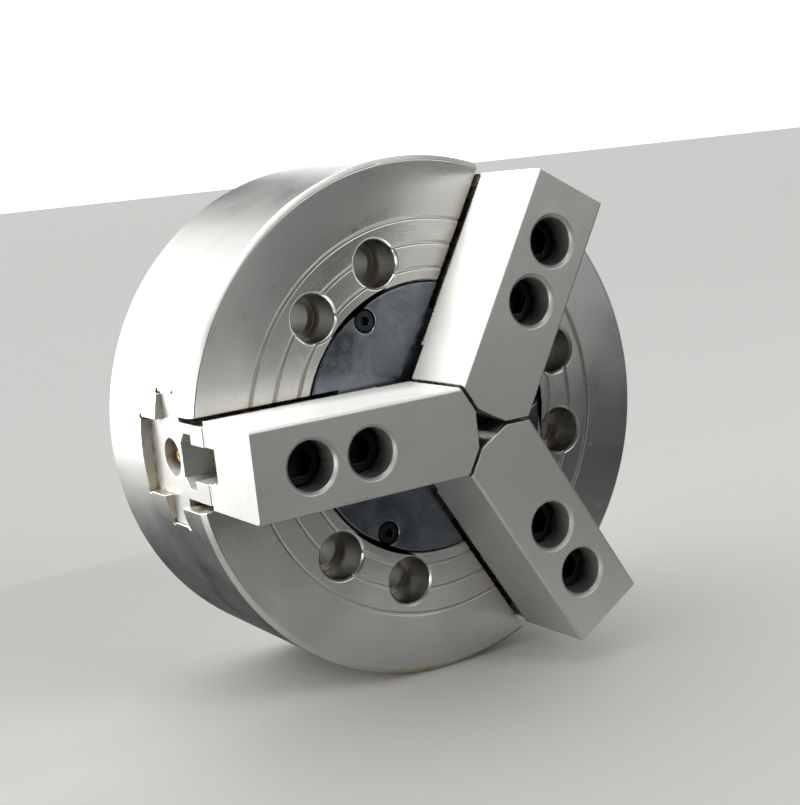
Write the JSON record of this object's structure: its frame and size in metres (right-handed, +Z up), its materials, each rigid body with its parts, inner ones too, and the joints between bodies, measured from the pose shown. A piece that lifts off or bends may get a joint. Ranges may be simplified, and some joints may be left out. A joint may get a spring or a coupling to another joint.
{
  "type": "three-jaw power chuck",
  "caption": "Wedge-operated lathe chuck with sliding master jaws, bolted soft top jaws and a closed centre cover, for gripping round work on a spindle.",
  "frame": {"origin": "on the spindle axis at the back rim, where the register recess opens", "axes": "+Y along the spindle axis towards the spindle, so the jaws face -Y; +Z up; seen from the front the jaws point 60, 180 and 300 degrees from +X towards +Z"},
  "size_m": [0.21, 0.1245, 0.21],
  "materials": {
    "body_steel": "turned",
    "jaw_steel": "ground",
    "hardened_steel": "ground",
    "black_steel": "black oxide",
    "brass": "turned",
    "rubber": "moulded"
  },
  "bodies": {
    "chuck": {"chuck_body": "body_steel", "centre_cover": "black_steel", "cover_screws": "black_steel", "plunger_wiper": "rubber"},
    "plunger": {"wedge_plunger": "hardened_steel", "plunger_seal": "rubber", "draw_nut_retainer": "hardened_steel", "detent_ball": "hardened_steel", "detent_spring": "hardened_steel"},
    "draw_nut": {"draw_nut": "hardened_steel"},
    "jaw_left": {"master_jaw_left": "jaw_steel", "t_nut_left": "hardened_steel", "soft_jaw_left": "jaw_steel", "jaw_bolts_left": "black_steel", "grease_nipple_left": "brass"},
    "jaw_upper": {"master_jaw_upper": "jaw_steel", "t_nut_upper": "hardened_steel", "soft_jaw_upper": "jaw_steel", "jaw_bolts_upper": "black_steel", "grease_nipple_upper": "brass"},
    "jaw_lower": {"master_jaw_lower": "jaw_steel", "t_nut_lower": "hardened_steel", "soft_jaw_lower": "jaw_steel", "jaw_bolts_lower": "black_steel", "grease_nipple_lower": "brass"}
  },
  "joints": [
    {"name": "plunger_slide", "type": "slide", "parent": "chuck", "child": "plunger", "axis": [0, -1, 0], "range_m": [0, 0.016]},
    {"name": "draw_nut_turn", "type": "hinge", "parent": "plunger", "child": "draw_nut", "pos_m": [0, -0.015, 0], "axis": [0, 1, 0], "continuous": true},
    {"name": "jaw_left_slide", "type": "slide", "parent": "chuck", "child": "jaw_left", "axis": [-1, 0, 0], "range_m": [0, 0.0037]},
    {"name": "jaw_upper_slide", "type": "slide", "parent": "chuck", "child": "jaw_upper", "axis": [0.5, 0, 0.866], "range_m": [0, 0.0037]},
    {"name": "jaw_lower_slide", "type": "slide", "parent": "chuck", "child": "jaw_lower", "axis": [0.5, 0, -0.866], "range_m": [0, 0.0037]}
  ],
  "couplings": [
    {"joint": "jaw_left_slide", "follows": "plunger_slide", "ratio": 0.23125},
    {"joint": "jaw_upper_slide", "follows": "plunger_slide", "ratio": 0.23125},
    {"joint": "jaw_lower_slide", "follows": "plunger_slide", "ratio": 0.23125}
  ]
}
